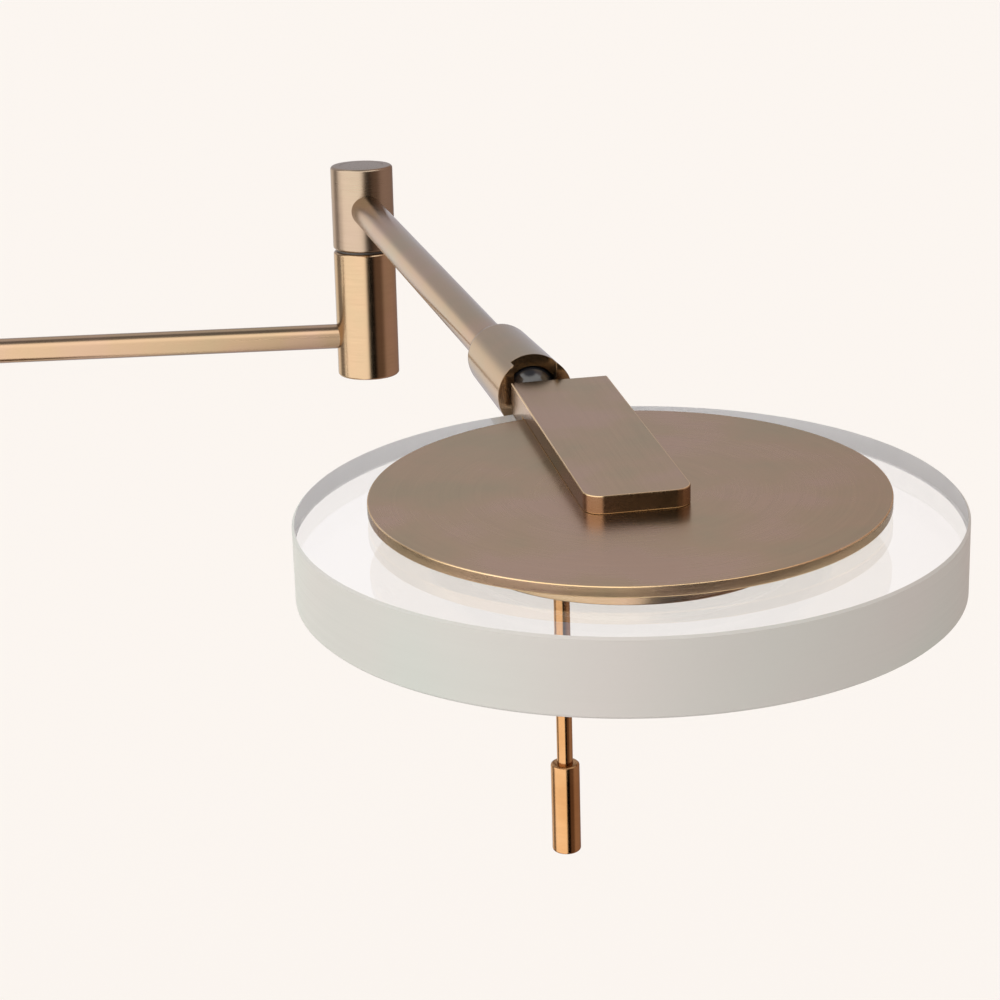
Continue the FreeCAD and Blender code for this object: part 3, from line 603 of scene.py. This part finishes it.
def make_barrel(name, node, axis, inside, material):
    low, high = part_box(node)[0].z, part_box(node)[1].z
    steps = [(radius, height if height is None else low + height) for radius, height in inside]
    shape = turned(barrel_outline(low, high, steps))
    edges = [
        edge
        for edge in shape.edges
        if edge.calc_face_angle() > math.radians(30)
        and min(vert.co.xy.length for vert in edge.verts) > barrel_radius - barrel_edge - 0.05 * mm
    ]
    soften(shape, 0.25 * mm, 2, edges)
    return finish_part(shape, name, node, axis, [material], 50)


barrel_root = 12 * mm
shoulder_low = [
    (column_radius, None),
    (column_radius, barrel_root),
    (pivot_radius, barrel_root),
    (pivot_radius, None),
]
make_barrel("shoulder_barrel_low", "shoulder_lower_barrel", table, shoulder_low, bronze_on_column)
upper_inside = [(pivot_radius, None), (pivot_radius, 4 * mm), (7 * mm, 4 * mm), (7 * mm, None)]
make_barrel("shoulder_barrel_high", "shoulder_upper_barrel", table, upper_inside, bronze_on_column)
elbow_barrel_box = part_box("elbow_lower_barrel")
elbow_wall = elbow_barrel_box[1].z - elbow_barrel_box[0].z - barrel_root
elbow_low = [(6 * mm, None), (6 * mm, elbow_wall), (pivot_radius, elbow_wall), (pivot_radius, None)]
make_barrel("elbow_barrel_low", "elbow_lower_barrel", elbow, elbow_low, bronze_on_elbow)
# The upper barrel takes the paler copy of the bronze, a painted reflection.
make_barrel("elbow_barrel_high", "elbow_upper_barrel", elbow, upper_inside, elbow_bronze_painted_paler)

# %% [markdown]
# ## Caps of the barrels
#
# A pressed-in disc closes the open end of each barrel. It sits flush, and only a hairline at its
# edge shows, which a narrow bevel on the disc's rim gives.

# %% Caps
def make_cap(name, node, axis, material):
    low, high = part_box(node)
    radius = (high.x - low.x) / 2
    shape = turned([(0, low.z), (radius, low.z), (radius, high.z), (0, high.z)], 96)
    soften(shape, 0.15 * mm, 2)
    return finish_part(shape, name, node, axis, [material])


make_cap("shoulder_cap_pressed", "shoulder_cap", table, bronze_on_column)
# The elbow cap takes the paler copy too, a painted reflection.
make_cap("elbow_cap_pressed", "elbow_cap", elbow, elbow_bronze_painted_paler)
make_cap("elbow_foot_cap_pressed", "elbow_bottom_cap", elbow, bronze_on_elbow)

# %% [markdown]
# ## Arms
#
# Both arms are straight drawn tube, the second a little thicker than the first. They are spun
# round their own axis as open tube and run into the barrels, as the brazed tube does.

# %% Arms
def make_tube(name, node, place, start, end, radius, wall, material):
    shape = turned([(radius - wall, start), (radius, start), (radius, end), (radius - wall, end)], 96)
    lay_along_x(shape)
    return finish_part(shape, name, node, place, [material])


tube_wall = 1 * mm
first_arm_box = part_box("first_arm_tube")
first_radius = (first_arm_box[1].z - first_arm_box[0].z) / 2
make_tube(
    "first_arm_drawn", "first_arm_tube", first_arm_place,
    first_arm_box[0].x, first_arm_box[1].x, first_radius, tube_wall, bronze_on_first_arm,
)
second_arm_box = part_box("second_arm_tube")
second_radius = (second_arm_box[1].z - second_arm_box[0].z) / 2
second_start, second_end = 6.5 * mm, 226 * mm
make_tube(
    "second_arm_drawn", "second_arm_tube", second_arm,
    second_start, second_end, second_radius, tube_wall, bronze_on_second_arm,
)

# %% [markdown]
# ## Collar of the ball joint
#
# A turned collar at the arm's end holds a black ball. It widens slightly to its mouth, its back
# is rounded off, and a slot in its top lets the ball's stem swing up when the head is tilted. It
# is spun like the barrels and then the slot is cut out of it, as on a milling machine.

# %% Collar
ball_distance = (Vector(joints["head_tilt"]["pos_m"]) - second_arm.translation).length
ball_radius = 6 * mm
running_gap = 0.05 * mm
collar_back, collar_mouth = 214 * mm, 257.3 * mm
collar_back_radius, collar_mouth_radius = 8.2 * mm, 8.9 * mm
collar_cavity = 6.2 * mm
collar_wall_end = collar_back + 8 * mm
lip_start, lip_radius = ball_distance + 3.3 * mm, 5.1 * mm
slot_start, slot_half = ball_distance + 2.6 * mm, 5 * mm
collar = turned(
    [
        (second_radius + running_gap, collar_back),
        (collar_back_radius - 2.0 * mm, collar_back),
        (collar_back_radius - 1.1 * mm, collar_back + 0.6 * mm),
        (collar_back_radius - 0.45 * mm, collar_back + 1.7 * mm),
        (collar_back_radius - 0.1 * mm, collar_back + 3.0 * mm),
        (collar_back_radius, collar_back + 4.2 * mm),
        (collar_mouth_radius, collar_mouth),
        (lip_radius, collar_mouth),
        (lip_radius, lip_start),
        (ball_radius + running_gap, lip_start),
        (ball_radius + running_gap, ball_distance - 1 * mm),
        (collar_cavity, ball_distance - 1 * mm),
        (collar_cavity, collar_wall_end),
        (second_radius + running_gap, collar_wall_end),
    ]
)
lay_along_x(collar)
slot_cutter = box_shape(
    (slot_start, -slot_half, 0), (collar_mouth + 5 * mm, slot_half, collar_mouth_radius + 5 * mm)
)
collar = carve(collar, slot_cutter)
mouth_edges = [
    edge
    for edge in collar.edges
    if len(edge.link_faces) == 2
    and edge.calc_face_angle() > math.radians(50)
    and all(vert.co.yz.length > lip_radius + 1 * mm for vert in edge.verts)
]
soften(collar, 0.45 * mm, 2, mouth_edges)
collar_finish = [bronze_on_second_arm]
finish_part(
    collar, "socket_collar_turned", "socket_collar", second_arm, collar_finish, 35
)

# %% [markdown]
# ## Ball and stem
#
# The ball is hard black plastic with a high gloss, and the stem behind it is a thin black tube.
# A subdivided sphere would do, but a spun half circle gives even rings round the stem's axis.

# %% Ball and stem
black_gloss, black_shader = new_material("black_gloss_plastic", (0.012, 0.012, 0.014), 0.16)
black_shader.inputs["Coat Weight"].default_value = 0.5
black_shader.inputs["Coat Roughness"].default_value = 0.08
black_tree = black_gloss.node_tree
black_specks = noise(black_tree, own_coordinates(black_tree, head), 900.0, 2.0)
black_tree.links.new(spread(black_tree, black_specks, 0.13, 0.22), black_shader.inputs["Roughness"])

ball_rings = 24
ring_angles = [math.pi * step / ball_rings for step in range(1, ball_rings)]
half_circle = [
    (ball_radius * math.sin(angle), -ball_radius * math.cos(angle)) for angle in ring_angles
]
ball = turned([(0, -ball_radius), *half_circle, (0, ball_radius)], 64)
lay_along_x(ball)
finish_part(ball, "ball_black", "ball", head, [black_gloss])

stem_radius, stem_bore = 2.2 * mm, 1.3 * mm
stem_depth = 8 * mm
bracket_reach = 67.9 * mm
stem_end = glass_in_head.x - bracket_reach + stem_depth
stem = turned([(stem_bore, 0), (stem_radius, 0), (stem_radius, stem_end), (stem_bore, stem_end)], 48)
lay_along_x(stem)
finish_part(stem, "ball_stem_black", "ball_stem", head, [black_gloss])

# %% [markdown]
# ## Bracket
#
# A flat bronze bar lies on the disc and carries the head. Its front corners are rounded in plan,
# and at the back it drops into a thicker block that takes the ball's stem. It is one bar cut to
# shape, so the mesh is one outline extruded, with the block extruded down from its back part.
# All its upper edges have a narrow chamfer, coloured brighter as wear and a painted highlight.

# %% Bracket
disc_thick, gasket_thick = 2.4 * mm, 1.5 * mm
disc_radius = 54.3 * mm
bracket_back = glass_in_head.x - bracket_reach
bracket_front = glass_in_head.x + 13.2 * mm
bracket_low = glass_in_head.z + gasket_thick + disc_thick
bracket_top = bracket_low + 4 * mm
bracket_left = glass_in_head.y - 11.9 * mm
bracket_right = glass_in_head.y + 10.7 * mm
block_end = glass_in_head.x - disc_radius - 0.4 * mm
block_low = glass_in_head.z + 0.4 * mm
corner_radius = 4 * mm

bar = box_shape((bracket_back, bracket_left, bracket_low), (bracket_front, bracket_right, bracket_top))
bmesh.ops.bisect_plane(
    bar, geom=bar.verts[:] + bar.edges[:] + bar.faces[:], plane_co=(block_end, 0, 0), plane_no=(1, 0, 0)
)
block_foot = [
    face
    for face in bar.faces
    if face.normal.z < -0.9 and face.calc_center_median().x < block_end
]
dropped = bmesh.ops.extrude_face_region(bar, geom=block_foot)
bmesh.ops.translate(
    bar,
    verts=[item for item in dropped["geom"] if isinstance(item, bmesh.types.BMVert)],
    vec=(0, 0, block_low - bracket_low),
)
bmesh.ops.delete(bar, geom=[face for face in block_foot if face.is_valid], context="FACES")
bmesh.ops.recalc_face_normals(bar, faces=bar.faces)
front_corners = [
    edge
    for edge in bar.edges
    if abs(edge.verts[0].co.z - edge.verts[1].co.z) > 1 * mm
    and min(vert.co.x for vert in edge.verts) > bracket_front - 0.1 * mm
]
soften(bar, corner_radius, 12, front_corners)
# The narrow chamfer faces take the brighter edge material: wear and a painted highlight.
painted_highlight_faces = soften(bar, 0.28 * mm, 2, sharper_than=40)
for face in painted_highlight_faces:
    face.material_index = 1
finish_part(bar, "bracket_bar", "bracket", head, [bronze_on_bracket, edge_wear_and_painted_highlight], 25)

# %% [markdown]
# ## Bronze disc
#
# The disc that lies over the lighting insert is the largest bronze face of the lamp, and it
# mirrors the room softly. Its rim is only a couple of millimetres tall, so the softened edges at
# its top and bottom decide how it reads against the glass.

# %% Bronze disc
disc = turned(
    [
        (0, gasket_thick),
        (disc_radius, gasket_thick),
        (disc_radius, gasket_thick + disc_thick),
        (0, gasket_thick + disc_thick),
    ],
    192,
)
# Its softened edges take the brighter edge material: wear and a painted highlight.
disc_painted_highlight_faces = soften(disc, 0.25 * mm, 2)
for face in disc_painted_highlight_faces:
    face.material_index = 1
finish_part(disc, "top_disc_turned", "top_disc", glass, [bronze_on_disc, edge_wear_and_painted_highlight], 50)

# %% [markdown]
# ## Glass disc
#
# The thick ring of glass is polished on its faces and ground on its rim. Ground glass scatters
# light, so the rim looks like pale grey satin while the faces stay clear. The two finishes are
# two materials on one closed mesh, which keeps the light inside the glass where it should be.
# Seen from inside the glass, the far rim glows with the light that comes through it. Tracing that
# takes long, so the back of the ground surface is simply given a paler colour.

# %% Glass finishes
clear_glass, clear_shader = new_material("clear_glass", (0.995, 0.998, 0.995), 0.0)
clear_shader.inputs["Transmission Weight"].default_value = 1.0
clear_shader.inputs["IOR"].default_value = 1.5
clear_tree = clear_glass.node_tree
clear_film = noise(clear_tree, own_coordinates(clear_tree, glass), 30.0, 2.0)
clear_tree.links.new(spread(clear_tree, clear_film, 0.0, 0.012), clear_shader.inputs["Roughness"])

ground_glass, ground_shader = new_material("ground_glass", (0.50, 0.50, 0.48), 0.6)
ground_shader.inputs["Transmission Weight"].default_value = 0.1
ground_shader.inputs["IOR"].default_value = 1.5
ground_tree = ground_glass.node_tree
ground_vector = own_coordinates(ground_tree, glass)
ground_rings = brush_lines(ground_tree, ground_vector, "round")
ground_clouds = noise(ground_tree, ground_vector, 18.0, 2.0)
ground_pale = (0.97, 0.97, 0.96)
ground_green = (0.475, 0.50, 0.475)
ground_grey = (0.50, 0.50, 0.48)
ground_warm = (0.51, 0.49, 0.475)
ground_tone = ramp(
    ground_tree, ground_clouds, [(0.35, ground_green), (0.5, ground_grey), (0.65, ground_warm)]
)
ground_side = add_node(ground_tree, "ShaderNodeNewGeometry")
ground_inside = add_node(
    ground_tree,
    "ShaderNodeMix",
    {"data_type": "RGBA"},
    {0: ground_side.outputs["Backfacing"], 6: ground_tone},
    {7: (*ground_pale, 1)},
)
ground_tree.links.new(ground_inside.outputs[2], ground_shader.inputs["Base Color"])
ground_tree.links.new(spread(ground_tree, ground_rings, 0.5, 0.68), ground_shader.inputs["Roughness"])

# %% Glass disc
glass_radius = 70 * mm
glass_bore = 35 * mm
glass_edge = 0.5 * mm
glass_ring = turned(
    [
        (glass_bore, -glass_thick),
        (glass_radius - glass_edge, -glass_thick),
        (glass_radius, -glass_thick + glass_edge),
        (glass_radius, -glass_edge),
        (glass_radius - glass_edge, 0),
        (glass_bore, 0),
    ],
    192,
)
for face in glass_ring.faces:
    if face.calc_center_median().xy.length > glass_radius - 0.9 * glass_edge:
        face.material_index = 1
finish_part(
    glass_ring, "glass_ring", "glass_disc", glass, [clear_glass, ground_glass], 30
)

# %% [markdown]
# ## Touch rod and knob
#
# A thin rod hangs from the lighting insert with a small turned knob at its end, which switches
# and dims the lamp. Both are polished in a redder bronze than the arms.

# %% Rod and knob
rod_side = -14.7 * mm
rod_place = glass @ Matrix.Translation(Vector((0, rod_side, 0)))
copper_rod = brushed_metal("copper_rod", rod_place, "round", copper_colours, (0.14, 0.22), 60.0, 0.03)
rod_radius, rod_low, rod_top = 1.7 * mm, -59.6 * mm, -1.5 * mm
rod = turned([(0, rod_low), (rod_radius, rod_low), (rod_radius, rod_top), (0, rod_top)], 48)
finish_part(rod, "touch_rod_polished", "touch_rod", rod_place, [copper_rod])

knob_radius, knob_top, knob_low = 3.1 * mm, -56.6 * mm, -77.1 * mm
knob = turned(
    [
        (0, knob_low),
        (knob_radius, knob_low),
        (knob_radius, knob_top),
        (rod_radius, knob_top),
        (rod_radius, rod_low),
        (0, rod_low),
    ],
    64,
)
knob_edges = [
    edge
    for edge in knob.edges
    if min(vert.co.xy.length for vert in edge.verts) > knob_radius - 0.1 * mm
    and edge.calc_face_angle() > 1
]
soften(knob, 0.5 * mm, 3, knob_edges)
finish_part(knob, "touch_knob_turned", "touch_knob", rod_place, [copper_rod])

# %% [markdown]
# ## Bezel under the glass
#
# A bronze ring screwed up into the insert carries the glass from below. It is seen when the head
# is tilted up.

# %% Bezel
bezel_outer, bezel_inner, bezel_thick = 36.5 * mm, 30 * mm, 2 * mm
bezel = turned(
    [
        (bezel_inner, -glass_thick - bezel_thick),
        (bezel_outer, -glass_thick - bezel_thick),
        (bezel_outer, -glass_thick),
        (bezel_inner, -glass_thick),
    ],
    128,
)
soften(bezel, 0.4 * mm, 3)
finish_part(bezel, "bezel_ring_turned", "bezel_ring", glass, [bronze_on_disc])

# %% [markdown]
# ## Parts that keep the design's mesh
#
# The inner parts already have the right shape, so they only need their finish: rubber, nylon,
# zinc plate, brass, cast iron, bare aluminium, the white board, its chips and the opal diffuser.
# Each finish is a small recipe of a colour that drifts a little and a grain in the roughness.

# %% Plain finishes
def plain_finish(name, colour, roughness, metallic=0.0, scale=300.0, drift=0.12, bump_depth=0.0):
    """A material whose colour drifts a little and whose roughness has a grain."""
    material, shader = new_material(name, colour, roughness, metallic)
    tree = material.node_tree
    source = add_node(tree, "ShaderNodeTexCoord")
    grain = noise(tree, source.outputs["Object"], scale, 3.0, 0.6)
    darker = tuple(channel * (1 - drift) for channel in colour)
    lighter = tuple(min(1.0, channel * (1 + drift)) for channel in colour)
    tree.links.new(ramp(tree, grain, [(0.3, darker), (0.7, lighter)]), shader.inputs["Base Color"])
    tree.links.new(
        spread(tree, grain, max(0.02, roughness - 0.06), min(1.0, roughness + 0.06)),
        shader.inputs["Roughness"],
    )
    if bump_depth:
        bump = add_node(
            tree, "ShaderNodeBump", None, {"Height": grain}, {"Strength": bump_depth, "Distance": 0.0003}
        )
        tree.links.new(bump.outputs["Normal"], shader.inputs["Normal"])
    return material


finishes = {
    "plain_brass": plain_finish("turned_brass", (0.75, 0.55, 0.26), 0.28, 1.0, 700.0),
    "zinc_plate": plain_finish("zinc_plate", (0.62, 0.63, 0.64), 0.34, 1.0, 260.0),
    "cast_weight": plain_finish("cast_iron", (0.10, 0.10, 0.105), 0.7, 0.4, 500.0, 0.3, 0.4),
    "foot_rubber": plain_finish("foot_rubber", (0.035, 0.034, 0.033), 0.85, 0.0, 900.0, 0.2, 0.3),
    "black_rubber": plain_finish("black_rubber", (0.02, 0.02, 0.021), 0.7, 0.0, 900.0, 0.2, 0.15),
    "nylon": plain_finish("black_nylon", (0.045, 0.036, 0.03), 0.45, 0.0, 400.0, 0.04),
    "lead_sheath": plain_finish("lead_sheath", (0.86, 0.85, 0.82), 0.5, 0.0, 500.0, 0.04),
    "insert_aluminium": plain_finish("bare_aluminium", (0.80, 0.80, 0.81), 0.36, 1.0, 600.0, 0.06, 0.05),
    "board_white": plain_finish("white_board", (0.88, 0.89, 0.88), 0.4, 0.0, 500.0, 0.03),
    "opal_plastic": plain_finish("opal_plastic", (0.93, 0.93, 0.91), 0.4, 0.0, 120.0, 0.02),
    "led_yellow": plain_finish("chip_phosphor", (0.93, 0.78, 0.24), 0.5, 0.0, 1500.0, 0.1),
    "aged_bronze": bronze_on_column,
    "polished_bronze": copper_rod,
    "black_gloss": black_gloss,
    "clear_glass": clear_glass,
}
kept = 0
for part in frame["record"]["subparts"]:
    node = frame["nodes"][part["node"]]
    if node.hide_render:
        continue
    for material_slot in node.material_slots:
        material_slot.material = finishes[part["material_slot"]]
    kept += 1
print("parts that keep the design's mesh:", kept)

# %% [markdown]
# ## Floor
#
# A product is shot on a pale sweep of paper. The floor is one large sheet that glows slightly, so
# that it stays even to its far edge, and still takes a soft shadow under the foot.

# %% Floor
paper_white = (0.982, 0.935, 0.886)
paper_unlit = (0.228, 0.225, 0.222)
paper_glow = 0.72
floor_half = 30.0
floor_shape = bmesh.new()
bmesh.ops.create_grid(floor_shape, x_segments=1, y_segments=1, size=floor_half)
bmesh.ops.translate(floor_shape, verts=floor_shape.verts, vec=(0, 0, cad_low.z))
floor_mesh = bpy.data.meshes.new("floor")
floor_shape.to_mesh(floor_mesh)
floor_shape.free()
floor = bpy.data.objects.new("floor", floor_mesh)
bpy.context.scene.collection.objects.link(floor)
paper, paper_shader = new_material("floor_paper", paper_unlit, 1.0)
paper_shader.inputs["Specular IOR Level"].default_value = 0.0
paper_shader.inputs["Emission Color"].default_value = (*paper_white, 1)
paper_shader.inputs["Emission Strength"].default_value = paper_glow
floor_mesh.materials.append(paper)
floor.visible_glossy = False

# %% [markdown]
# ## Studio light
#
# Metal shows the room more than its own colour, so the light is set up as a room. A wide soft
# box stands to the left of the camera, a dark flag with a black middle to its right, a dim wall
# further right, and a pale wall ahead. It could be built from area lights and cards, but a sky
# whose brightness depends on direction gives the same mirror images with less noise. The camera
# itself sees only the paper's white.

# %% Studio light
world = bpy.data.worlds.new("studio")
bpy.context.scene.world = world
world.use_nodes = True
sky = world.node_tree
sky.nodes.clear()


def sky_math(operation, first, second=None, third=None):
    node = sky.nodes.new("ShaderNodeMath")
    node.operation = operation
    for index, value in enumerate((first, second, third)):
        if value is None:
            continue
        if isinstance(value, (int, float)):
            node.inputs[index].default_value = value
        else:
            sky.links.new(value, node.inputs[index])
    return node.outputs[0]


def sky_step(value, start, end):
    """A smooth step of a direction's angle, from 0 at start to 1 at end, in degrees."""
    node = sky.nodes.new("ShaderNodeMapRange")
    node.interpolation_type = "SMOOTHSTEP"
    sky.links.new(value, node.inputs["Value"])
    node.inputs["From Min"].default_value = min(start, end)
    node.inputs["From Max"].default_value = max(start, end)
    node.inputs["To Min"].default_value = 0.0 if start < end else 1.0
    node.inputs["To Max"].default_value = 1.0 if start < end else 0.0
    return node.outputs["Result"]


def sky_mix(factor, first, second):
    node = sky.nodes.new("ShaderNodeMix")
    node.data_type = "RGBA"
    sky.links.new(factor, node.inputs[0])
    for index, value in ((6, first), (7, second)):
        if isinstance(value, tuple):
            node.inputs[index].default_value = (*value, 1)
        else:
            sky.links.new(value, node.inputs[index])
    return node.outputs[2]


direction = sky.nodes.new("ShaderNodeTexCoord")
split = sky.nodes.new("ShaderNodeSeparateXYZ")
sky.links.new(direction.outputs["Generated"], split.inputs[0])
across, ahead, upward = (split.outputs[axis] for axis in "XYZ")
to_degrees = 180 / math.pi
# 0 points at the camera's side of the room, minus is to its left, and plus or minus 180 is ahead
toward_camera = sky_math("MULTIPLY", ahead, -1.0)
heading = sky_math("MULTIPLY", sky_math("ARCTAN2", across, toward_camera), to_degrees)
rise = sky_math("MULTIPLY", sky_math("ARCSINE", upward), to_degrees)
size_of_heading = sky_math("ABSOLUTE", heading)

soft_box = (2.25, 2.18, 2.08)
dark_flag = (0.24, 0.16, 0.12)
flag_middle = (0.0, 0.0, 0.0)
dim_wall = (0.62, 0.46, 0.40)
pale_wall = (0.90, 0.90, 0.98)
left_gap = (0.42, 0.38, 0.36)
warm_corner = (1.9, 1.8, 1.65)
ceiling = (0.25, 0.25, 0.27)

room = sky_mix(sky_step(size_of_heading, 150, 172), dim_wall, pale_wall)
flag = sky_mix(sky_step(heading, 26, 36), flag_middle, dark_flag)
right_side = sky_mix(sky_step(heading, 56, 74), flag, room)
left_room = sky_mix(sky_step(heading, -172, -160), pale_wall, warm_corner)
warm_height = sky_step(rise, 10, 2)
left_room = sky_mix(warm_height, pale_wall, left_room)
left_room = sky_mix(sky_step(heading, -138, -124), left_room, left_gap)
left_side = sky_mix(sky_step(heading, -108, -96), left_room, soft_box)
around = sky_mix(sky_step(heading, -3, 6), left_side, right_side)
high_room = sky_mix(sky_step(rise, 26, 50), around, soft_box)
front_half = sky_step(size_of_heading, 96, 70)
around = sky_mix(front_half, around, high_room)
around = sky_mix(sky_step(rise, 62, 76), around, ceiling)

room_light = sky.nodes.new("ShaderNodeBackground")
sky.links.new(around, room_light.inputs["Color"])
paper_light = sky.nodes.new("ShaderNodeBackground")
paper_light.inputs["Color"].default_value = (*paper_white, 1)
seen = sky.nodes.new("ShaderNodeLightPath")
choice = sky.nodes.new("ShaderNodeMixShader")
sky.links.new(seen.outputs["Is Camera Ray"], choice.inputs[0])
sky.links.new(room_light.outputs[0], choice.inputs[1])
sky.links.new(paper_light.outputs[0], choice.inputs[2])
output = sky.nodes.new("ShaderNodeOutputWorld")
sky.links.new(choice.outputs[0], output.inputs["Surface"])

# %% [markdown]
# ## View
#
# The Standard view transform shows the paper and the metal in the colours they were given, which
# a film-like curve would soften.

# %% View
bpy.context.scene.view_settings.view_transform = "Standard"
bpy.context.scene.view_settings.look = "None"
